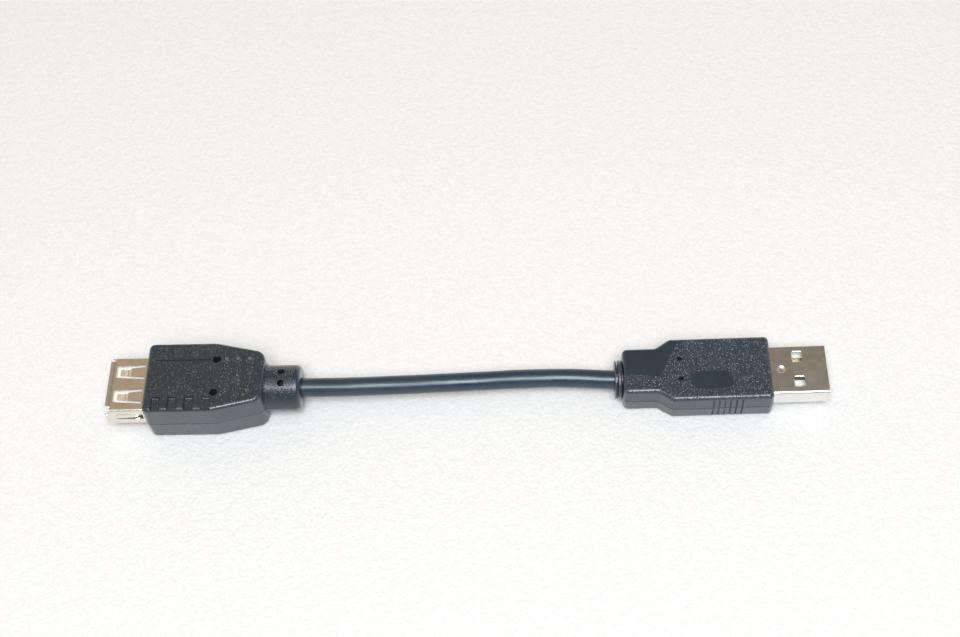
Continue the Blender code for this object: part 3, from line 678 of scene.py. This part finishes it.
def bent_strip(stations, thickness, turn=0.0, bevel=0.03):
    """A bent strip through (x, z, half width) stations, then turned about the X axis."""
    line = smooth_line(stations, 5)
    sections = []
    last = len(line) - 1
    for i, (x, z, half) in enumerate(line):
        along = line[min(last, i + 1)] - line[max(0, i - 1)]
        along = Vector((along.x, along.y)).normalized()
        dx, dz = -along.y * thickness / 2, along.x * thickness / 2
        sections.append([(x + dx, -half, z + dz), (x + dx, half, z + dz),
                         (x - dx, half, z - dz), (x - dx, -half, z - dz)])
    mesh = carved(loft(sections), (), bevel=bevel)
    mesh.transform(Matrix.Rotation(turn, 4, "X"))
    return mesh


# ---------------------------------------------------------------- camera and cable

def add_camera():
    """The camera, which is tilted a little sideways."""
    data = bpy.data.cameras.new("photo_camera")
    data.lens = CAMERA_LENS
    data.clip_start = 0.01
    camera = bpy.data.objects.new("photo_camera", data)
    bpy.context.scene.collection.objects.link(camera)
    tilt = Matrix.Rotation(math.radians(90.0 - CAMERA_BELOW_HORIZON), 4, "X")
    turn = Matrix.Rotation(math.radians(CAMERA_AZIMUTH), 4, "Z")
    roll = Matrix.Rotation(math.radians(-CAMERA_ROLL), 4, "Z")
    camera.matrix_world = Matrix.Translation(Vector(CAMERA_PLACE) * MM) @ turn @ tilt @ roll
    bpy.context.scene.camera = camera


def add_cable(materials):
    """The jacket, a tube that sinks slightly between the wires that twist under it."""
    line = smooth_line(CABLE_ROUTE, 24)
    sections = []
    sides = 40
    along = 0.0                          # millimetres from the socket's end
    for i, point in enumerate(line):
        ahead = (line[min(i + 1, len(line) - 1)] - line[max(i - 1, 0)]).normalized()
        along += (point - line[max(i - 1, 0)]).length / MM
        side = Vector((0, 0, 1)).cross(ahead).normalized()
        up = ahead.cross(side)
        ring = []
        for k in range(sides):
            angle = math.tau * k / sides
            wave = (math.sin(2 * angle + along * 0.42) * 0.6
                    + math.sin(angle - along * 0.75 + 1.3) * 0.4)
            radius = (CABLE_RADIUS - CABLE_WAVE * (0.5 - 0.5 * wave)) * MM
            out = side * math.cos(angle) + up * math.sin(angle)
            ring.append((point + out * radius) / MM)
        sections.append(ring)
    mesh = loft(sections)
    cable = add_piece("cable", mesh, [materials["jacket"]], Matrix.Scale(MM, 4), "root",
                      "cable_pvc", "cable_jacket")


# ---------------------------------------------------------------- plug

def mark_cuts(x, y, marks, depth):
    """How deep a pair of pin marks is cut at (x, y)."""
    at, offset, radius, _ = marks
    near = pulse(np.hypot(x - at, y - offset), 0.0, radius, 0.16)
    far = pulse(np.hypot(x - at, y + offset), 0.0, radius, 0.16)
    return depth * (near + far)


def on_mark(x, y, z, marks):
    """Whether a face on the upper half belongs to a pin mark."""
    at, offset, _, radius = marks
    return z > 1.0 and math.hypot(x - at, abs(y) - offset) < radius


def plug_body(place, materials):
    """The plug's moulding, with its grips, seam, patch and pin marks."""
    def sink(x, y, side):
        patch = PLUG_PATCH_DEPTH * pill_mask(x, y, PLUG_PATCH, 0.7)
        return (patch + mark_cuts(x, y, PLUG_MARKS, PLUG_MARK_DEPTH)) * (side > 0)

    def dent(x, y, z):
        seam = 0.07 * pulse(np.full_like(x, z), 0.0, 0.06, 0.08)
        grips = sum(pulse(x, grip, 0.13, 0.14) for grip in PLUG_GRIPS)
        return seam + PLUG_GRIP_DEPTH * grips * float(pulse(np.float64(z), 0.0, 3.0, 0.2))

    def finish(x, y, z):
        # The seam takes the dark finish as a dark line; the pin marks take it as painted
        # shade.
        if abs(z) < 0.06 or on_mark(x, y, z, PLUG_MARKS):
            return 2
        on_patch = pill_mask(x, y, PLUG_PATCH, 0.1) > 0.5 and z > 2.0
        # The rear far corner takes the smooth, darker finish, with few pale bead tops.
        smooth_far_rear = x < -23.4 + 0.5 * y and y > -0.8 - 0.12 * (x + 33.0) and z > 3.0
        return int(on_patch or smooth_far_rear)

    mesh = moulded_skin(PLUG_OUTLINE, PLUG_THICK, PLUG_DRAFT, PLUG_EDGE, 0.0, sink, dent,
                        PLUG_SKIN_STEP)
    mesh = carved(mesh, [hollow(PLUG_ROOM)])
    finish_by_place(mesh, finish)
    finishes = [materials[k] for k in ("grained", "smooth", "hole")]
    add_piece("plug_body_moulding", mesh, finishes, place, "root", "overmould_pvc",
              "plug_overmould")


def plug_grommet(place, materials):
    """A sleeve in the body, then a collar, a groove and a thin flange."""
    back = PLUG_OUTLINE[-1][0]
    bore = CABLE_RADIUS + BORE_GAP
    profile = [(5.7, bore), (5.7, 3.0), (-0.05, 3.0), (-0.05, 3.68), (-0.10, 3.80),
               (-0.20, 3.88), (-0.50, 3.90), (-0.80, 3.88), (-0.90, 3.80), (-0.95, 3.68),
               (-0.97, 3.0), (-1.18, 3.0), (-1.20, 3.76), (-1.26, 3.83), (-1.42, 3.85),
               (-1.54, 3.80), (-1.60, 3.70), (-1.60, bore + 0.25), (-1.50, bore)]

    def oval(x, r, y, z):
        return (x, y * (1.11 if r > 3.4 else 1.0), z)

    mesh = lathe([(back + x, r) for x, r in profile], 72, oval)
    add_piece("plug_cable_grommet", mesh, [materials["grained"]], place, "root",
              "overmould_pvc", "plug_strain_relief")


def sheet_tube(width, height, radius, x0, x1):
    """A folded sheet shell, open at both ends, with its rims eased."""
    y, z = width / 2, height / 2

    def section(inset):
        corner = max(0.1, radius - inset * 0.8)
        across, up = y - inset, z - inset
        return fillet(((across, up, corner), (-across, up, corner),
                       (-across, -up, corner), (across, -up, corner)), 9)

    rings = []
    for inset, x in ((0.0, x0), (0.0, x1 - 0.05), (0.05, x1), (SHEET - 0.05, x1),
                     (SHEET, x1 - 0.05), (SHEET, x0)):
        rings.append([(x, p.x, p.y) for p in section(inset)])
    return loft(rings, cyclic=True)


def plug_shell(place, materials):
    """The plug's sheet, with windows, a locking dimple and the folded seam underneath."""
    width, height, outside, inside = PLUG_SHELL
    mesh = sheet_tube(width, height, PLUG_SHELL_CORNER, -inside, outside)
    x, y, long, wide = PLUG_WINDOW
    cutters = []
    for side in (-1.0, 1.0):
        hole = rounded_rectangle(x - long / 2, x + long / 2, side * y - wide / 2,
                                 side * y + wide / 2, 0.28)
        cutters.append(prism(hole, -height, height))
    mesh = carved(mesh, cutters, bevel=0.11)
    cutters = [dimple_cutter(*PLUG_DIMPLE, height / 2)]
    for a, b in zip(PLUG_SEAM, PLUG_SEAM[1:]):
        start, end = Vector(a), Vector(b)
        along = (end - start).normalized() * PLUG_SEAM_HALF
        across = Vector((-along.y, along.x))
        start, end = start - along, end + along
        cutters.append(prism((start + across, start - across, end - across, end + across),
                             -height / 2 - 0.1, -height / 2 + PLUG_SEAM_DEPTH))
    mesh = carved(mesh, cutters)
    add_piece("plug_shell_sheet", mesh, [materials["plug_steel"]], place, "root",
              "plug_nickel", "plug_shell", crease=18)


def dimple_cutter(at, radius, depth, surface):
    """A dish with a rounded bottom, whose mouth is the dimple's round rim."""
    rings = []
    for share in (0.05, 0.2, 0.35, 0.5, 0.65, 0.8, 0.9, 1.0, 1.3):
        low = depth * (1.0 - share * share)
        rings.append([(at + radius * share * math.cos(math.tau * k / 32),
                       radius * share * math.sin(math.tau * k / 32), surface - low)
                      for k in range(32)])
    return loft(rings)


# ---------------------------------------------------------------- socket

def socket_body(place, materials):
    """The socket's moulding, with notches, ribs, a panel, a pill and pin marks."""
    def sink(x, y, side):
        cuts = sum(pulse(x, notch, 0.95, 0.4) for notch in SOCKET_NOTCHES)
        depth = np.where(y < 0, FAR_NOTCH_DEPTH, NOTCH_DEPTH)
        notches = depth * cuts * pulse(np.abs(y), 10.0, 4.8, 0.2)
        ribs = RIB_DEPTH * sum(pulse(x, rib, 0.5, 0.25) for rib in SOCKET_RIBS)
        cuts = np.maximum(notches, ribs * pulse(y, 0.0, 4.3, 1.0))
        if side < 0:
            return cuts
        middle, half_long, edge = SOCKET_PANEL
        groove = pulse(x, middle, half_long, 0.3) * pulse(y, edge, 0.08, 0.1)
        cuts = np.maximum(cuts, mark_cuts(x, y, SOCKET_MARKS, SOCKET_MARK_DEPTH))
        return (cuts + PANEL_GROOVE_DEPTH * groove
                - PILL_HEIGHT * pill_mask(x, y, SOCKET_PILL, 0.25))

    def dent(x, y, z):
        return 0.08 * pulse(np.full_like(x, z), 0.0, 0.07, 0.08)

    def finish(x, y, z):
        middle, half_long, edge = SOCKET_PANEL
        on_groove = abs(x - middle) < half_long and abs(y - edge) < 0.09 and z > 4.0
        # The seam takes the dark finish as a dark line; the groove and pin marks take it as
        # painted shade.
        if abs(z) < 0.06 or on_groove or on_mark(x, y, z, SOCKET_MARKS):
            return 1
        on_rib = abs(y) < 5.2 and min(abs(x - rib) for rib in SOCKET_RIBS) < 0.85
        return 2 if on_rib else 0

    mesh = moulded_skin(SOCKET_OUTLINE, SOCKET_THICK, SOCKET_DRAFT, SOCKET_EDGE,
                        SOCKET_LEAN, sink, dent, SOCKET_SKIN_STEP)
    mesh = carved(mesh, [hollow(SOCKET_ROOM, 96)])
    finish_by_place(mesh, finish)
    finishes = [materials[k] for k in ("plain", "hole", "ribbed")]
    add_piece("socket_body_moulding", mesh, finishes, place, "root", "overmould_pvc",
              "socket_overmould")


def socket_neck(place, materials):
    """The round neck: a hidden anchor flange, then the barrel with its parting line."""
    bore = CABLE_RADIUS + BORE_GAP
    profile = [(-24.1, bore), (-24.1, 4.6), (-24.9, 4.6), (-24.9, 4.0), (NECK_FRONT, 4.0),
               (NECK_FRONT, NECK_RADIUS + 0.3), (-26.28, NECK_RADIUS + 0.3),
               (-26.36, NECK_RADIUS + 0.08), (-26.5, NECK_RADIUS)]
    for k in range(3, 21):
        x = NECK_FRONT + (NECK_END + NECK_EDGE - NECK_FRONT) * k / 20
        profile.append((x, NECK_RADIUS))
    for k in range(1, 9):
        angle = math.pi / 2 * k / 8
        profile.append((NECK_END + NECK_EDGE * (1 - math.sin(angle)),
                        NECK_RADIUS - NECK_EDGE * (1 - math.cos(angle))))
    profile += [(NECK_END, bore + 0.3), (NECK_END + 0.08, bore + 0.1),
                (NECK_END + 0.3, bore)]

    def parting(x, r, y, z):
        if r < 3.5:
            return (x, y, z)
        line = 0.09 * float(pulse(np.float64(z), 0.0, 0.08, 0.12))
        return (x, y * (1 - line / r), z)

    mesh = lathe(profile, 240, parting)
    lean = math.radians(NECK_MARK_LEAN)
    cutters = []
    for side in (-1.0, 1.0):
        out = Vector((0.0, side * math.sin(lean), math.cos(lean)))
        start = Vector((NECK_MARK_X, 0.0, 0.0)) + out * (NECK_RADIUS - NECK_MARK_DEPTH)
        cutters.append(pin(start, out, NECK_MARK_RADIUS, 4.0))
    mesh = carved(mesh, cutters)

    def finish(x, y, z):
        if x < NECK_END + 0.9 * NECK_EDGE:
            return 2
        # The pin marks' walls take the dark finish as painted shade.
        below_skin = 2.5 < math.hypot(y, z) < NECK_RADIUS - 0.15
        return int(below_skin and abs(x - NECK_MARK_X) < NECK_MARK_RADIUS + 0.05)

    finish_by_place(mesh, finish)
    finishes = [materials[k] for k in ("neck", "hole", "smooth")]
    add_piece("socket_cable_neck", mesh, finishes, place, "root", "overmould_pvc",
              "socket_strain_relief")


def mouth_lip(halves, edge, turn):
    """One flared lip of the socket's mouth, on the wall that is an edge from the axis."""
    root_half, tip_half = halves
    reach, flare = SOCKET_LIP
    mouth = SOCKET_SHELL[2]
    middle = edge - SHEET / 2
    stations = ((mouth - 0.25, middle, root_half), (mouth, middle + 0.03, root_half),
                (mouth + reach * 0.45, middle + flare * 0.40, (root_half + tip_half) / 2),
                (mouth + reach, middle + flare, tip_half))
    return bent_strip(stations, SHEET * 0.94, turn, 0.05)


def socket_shell(place, materials):
    """The socket's sheet, with flared lips and a window round each spring finger."""
    width, height, mouth, inside = SOCKET_SHELL
    mesh = sheet_tube(width, height, SOCKET_SHELL_CORNER, -inside, mouth)
    quarter = math.pi / 2
    lips = [mouth_lip(WIDE_LIP, height / 2, 0.0),
            mouth_lip(WIDE_LIP, height / 2, math.pi),
            mouth_lip(SIDE_LIP, width / 2, quarter),
            mouth_lip(SIDE_LIP, width / 2, -quarter)]
    mesh = carved(mesh, lips, "UNION")
    start, end, start_wide, end_wide = SOCKET_WINDOW
    cutters = []
    for y in (-SOCKET_WINDOW_Y, SOCKET_WINDOW_Y):
        outline = ((end, y - end_wide / 2, 0.2), (end, y + end_wide / 2, 0.2),
                   (start, y + start_wide / 2, 0.15), (start, y - start_wide / 2, 0.15))
        cutters.append(prism(fillet(outline, 5), -height, height))
    start, end, high, middle = SOCKET_SIDE_WINDOW
    slot = prism(rounded_rectangle(start, end, middle - high / 2, middle + high / 2, 0.2),
                 -width, width)
    slot.transform(Matrix.Rotation(quarter, 4, "X"))
    cutters.append(slot)
    mesh = carved(mesh, cutters, bevel=0.025)
    add_piece("socket_shell_sheet", mesh, [materials["socket_steel"]], place, "root",
              "socket_nickel", "socket_shell", crease=18)


def socket_fingers(place, materials):
    """The six spring fingers of the shell. The four on the top and bottom walls have a
    painted highlight across the bend and a mottled, dented pad near the free end.
    """
    steels = [materials["socket_steel"], materials["pad_and_highlight_steel"]]
    width, height, _, _ = SOCKET_SHELL
    root = SOCKET_WINDOW[0] - OVERLAP
    middle = height / 2 - SHEET / 2
    stations = ((root, middle, 1.25), (2.4, middle - 0.07, 1.10),
                (3.85, middle - 0.15, 0.96), (3.98, middle - 0.19, 0.88),
                (4.42, middle - 0.45, 0.80), (4.80, middle - 0.54, 0.77),
                (5.2, middle - 0.53, 0.76), (5.7, middle - 0.40, 0.75),
                (6.35, middle - 0.18, 0.72))
    for wall, turn in (("top", 0.0), ("bottom", math.pi)):
        for side, y in (("front", SOCKET_WINDOW_Y), ("back", -SOCKET_WINDOW_Y)):
            mesh = bent_strip(stations, SHEET * 0.9, turn)
            mesh.transform(Matrix.Translation((0.0, y, 0.0)))
            # Painted highlight across the bend (3.9 to 4.4); the pad past 4.75 takes the
            # same plate as a mottled, dented finish.
            finish_by_place(mesh, lambda x, y, z: int(3.9 < x < 4.4 or x > 4.75))
            name = f"shell_spring_{wall}_{side}"
            add_piece(f"finger_{wall}_{side}", mesh, steels, place, name,
                      "socket_nickel", f"socket_{name}", crease=22)
    root = SOCKET_SIDE_WINDOW[1] + OVERLAP
    middle = width / 2 - SHEET / 2
    stations = ((root, middle, 0.70), (3.2, middle - 0.10, 0.66),
                (2.5, middle - 0.26, 0.64), (1.9, middle - 0.50, 0.62),
                (1.3, middle - 0.40, 0.60))
    for side, turn in (("front", -math.pi / 2), ("back", math.pi / 2)):
        mesh = bent_strip(stations, SHEET * 0.9, turn)
        mesh.transform(Matrix.Translation((0.0, 0.0, SOCKET_SIDE_WINDOW[3])))
        name = f"shell_spring_side_{side}"
        add_piece(f"finger_side_{side}", mesh, steels, place, name,
                  "socket_nickel", f"socket_{name}", crease=22)


def socket_contact_springs(place, materials):
    """The four springy contact legs under the tongue."""
    pivot_x, pivot_z = SPRING_PIVOT
    half = 0.47
    stations = ((pivot_x, pivot_z, half), (-1.5, 0.28, half), (3.2, -0.10, half),
                (4.2, -0.27, half), (4.7, -0.30, half), (5.2, -0.20, half * 0.9),
                (5.9, 0.30, half * 0.7))
    for name, offset in CONTACTS:
        mesh = bent_strip(stations, 0.2)
        mesh.transform(Matrix.Translation((0.0, -offset, 0.0)))
        add_piece(f"contact_leg_{name}", mesh, [materials["gold"]], place,
                  f"contact_spring_{name}", "gold_contact", f"socket_contact_spring_{name}",
                  crease=22)


# ---------------------------------------------------------------- the rest

def finish_cad_parts(materials):
    """Give every CAD part that still shows its finished material."""
    finishes = (("insulator", "white"), ("contact", "gold"), ("inner_mould", "inner"),
                ("shield_clamp", "crimp"), ("braid_fold", "braid"),
                ("wire_red", "wire_red"), ("wire_white", "wire_white"),
                ("wire_green", "wire_green"), ("wire_black", "wire_black"))
    for name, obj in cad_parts.items():
        for part, finish in finishes:
            if part in name:
                for slot in obj.material_slots:
                    slot.material = materials[finish]


def add_floor():
    """A pale foam sheet a hair below the object."""
    half = 2.5
    points = [(-half, -half, 0), (half, -half, 0), (half, half, 0), (-half, half, 0)]
    mesh = bpy.data.meshes.new("floor")
    mesh.from_pydata(points, [], [(0, 1, 2, 3)])
    mesh.materials.append(foam_floor())
    floor = bpy.data.objects.new("floor", mesh)
    floor.location.z = CAD_LOW.z - 0.02 * MM
    bpy.context.scene.collection.objects.link(floor)


def add_area_light(name, azimuth, elevation, distance, size, power, colour):
    """A round soft light at a direction from the object. Azimuth 0 is the near side."""
    data = bpy.data.lights.new(name, "AREA")
    data.shape = "DISK"
    data.size = size
    data.energy = power
    data.color = colour
    light = bpy.data.objects.new(name, data)
    bpy.context.scene.collection.objects.link(light)
    a, e = math.radians(azimuth), math.radians(elevation)
    away = Vector((math.sin(a) * math.cos(e), -math.cos(a) * math.cos(e), math.sin(e)))
    light.location = (CAD_LOW + CAD_HIGH) / 2 + away * distance
    light.rotation_mode = "QUATERNION"
    light.rotation_quaternion = away.to_track_quat("Z", "Y")
    light.visible_camera = False


def add_world():
    """A pale room: bright low down, dimmer above, and warmer above the far side. The
    camera itself sees an even pale grey past the floor."""
    world = bpy.data.worlds.new("studio")
    bpy.context.scene.world = world
    world.use_nodes = True
    tree = world.node_tree
    background = tree.nodes["Background"]
    where = add_node(tree, "ShaderNodeTexCoord").outputs["Generated"]
    axes = add_node(tree, "ShaderNodeSeparateXYZ", {"Vector": where}).outputs
    across = span(tree, axes["X"], 0.0, 1.0, -0.45, 0.45)
    far = span(tree, axes["Y"], 0.0, 1.0, -0.25, 0.25)
    warm = ramp(tree, across, ((0.10, (0.53, 0.42, 0.29)), (0.70, (0.195, 0.172, 0.145)),
                               (1.0, (0.42, 0.36, 0.29))))
    upper = add_node(tree, "ShaderNodeMix", {"Factor": far, "A": (0.14, 0.15, 0.16, 1.0),
                                             "B": warm}, data_type="RGBA")
    rise = span(tree, axes["Z"], 0.0, 1.0, 0.12, 0.48)
    low = add_node(tree, "ShaderNodeMix", {"Factor": far, "A": (0.50, 0.51, 0.53, 1.0),
                                           "B": (0.95, 0.96, 0.98, 1.0)}, data_type="RGBA")
    room = add_node(tree, "ShaderNodeMix", {"Factor": rise, "A": low.outputs["Result"],
                                            "B": upper.outputs["Result"]}, data_type="RGBA")
    seen = add_node(tree, "ShaderNodeLightPath").outputs["Is Camera Ray"]
    shown = add_node(tree, "ShaderNodeMix", {"Factor": seen, "A": room.outputs["Result"],
                                             "B": (0.88, 0.89, 0.89, 1.0)},
                     data_type="RGBA")
    tree.links.new(shown.outputs["Result"], background.inputs["Color"])


def main():
    bpy.context.scene.view_settings.view_transform = "Standard"
    materials = make_materials()
    add_camera()
    add_cable(materials)
    plug = connector_frame("plug", PLUG_BRAID_X)
    plug_body(plug, materials)
    plug_grommet(plug, materials)
    plug_shell(plug, materials)
    socket = connector_frame("socket", SOCKET_BRAID_X)
    socket_body(socket, materials)
    socket_neck(socket, materials)
    socket_shell(socket, materials)
    socket_fingers(socket, materials)
    socket_contact_springs(socket, materials)
    finish_cad_parts(materials)
    add_floor()
    add_area_light("key", CAMERA_AZIMUTH, elevation=64.0, distance=1.0, size=0.60,
                   power=8.8, colour=(1.0, 0.995, 0.99))
    add_area_light("overhead", 0.0, elevation=80.0, distance=1.2, size=1.1,
                   power=2.8, colour=(0.96, 0.98, 1.0))
    add_world()


main()
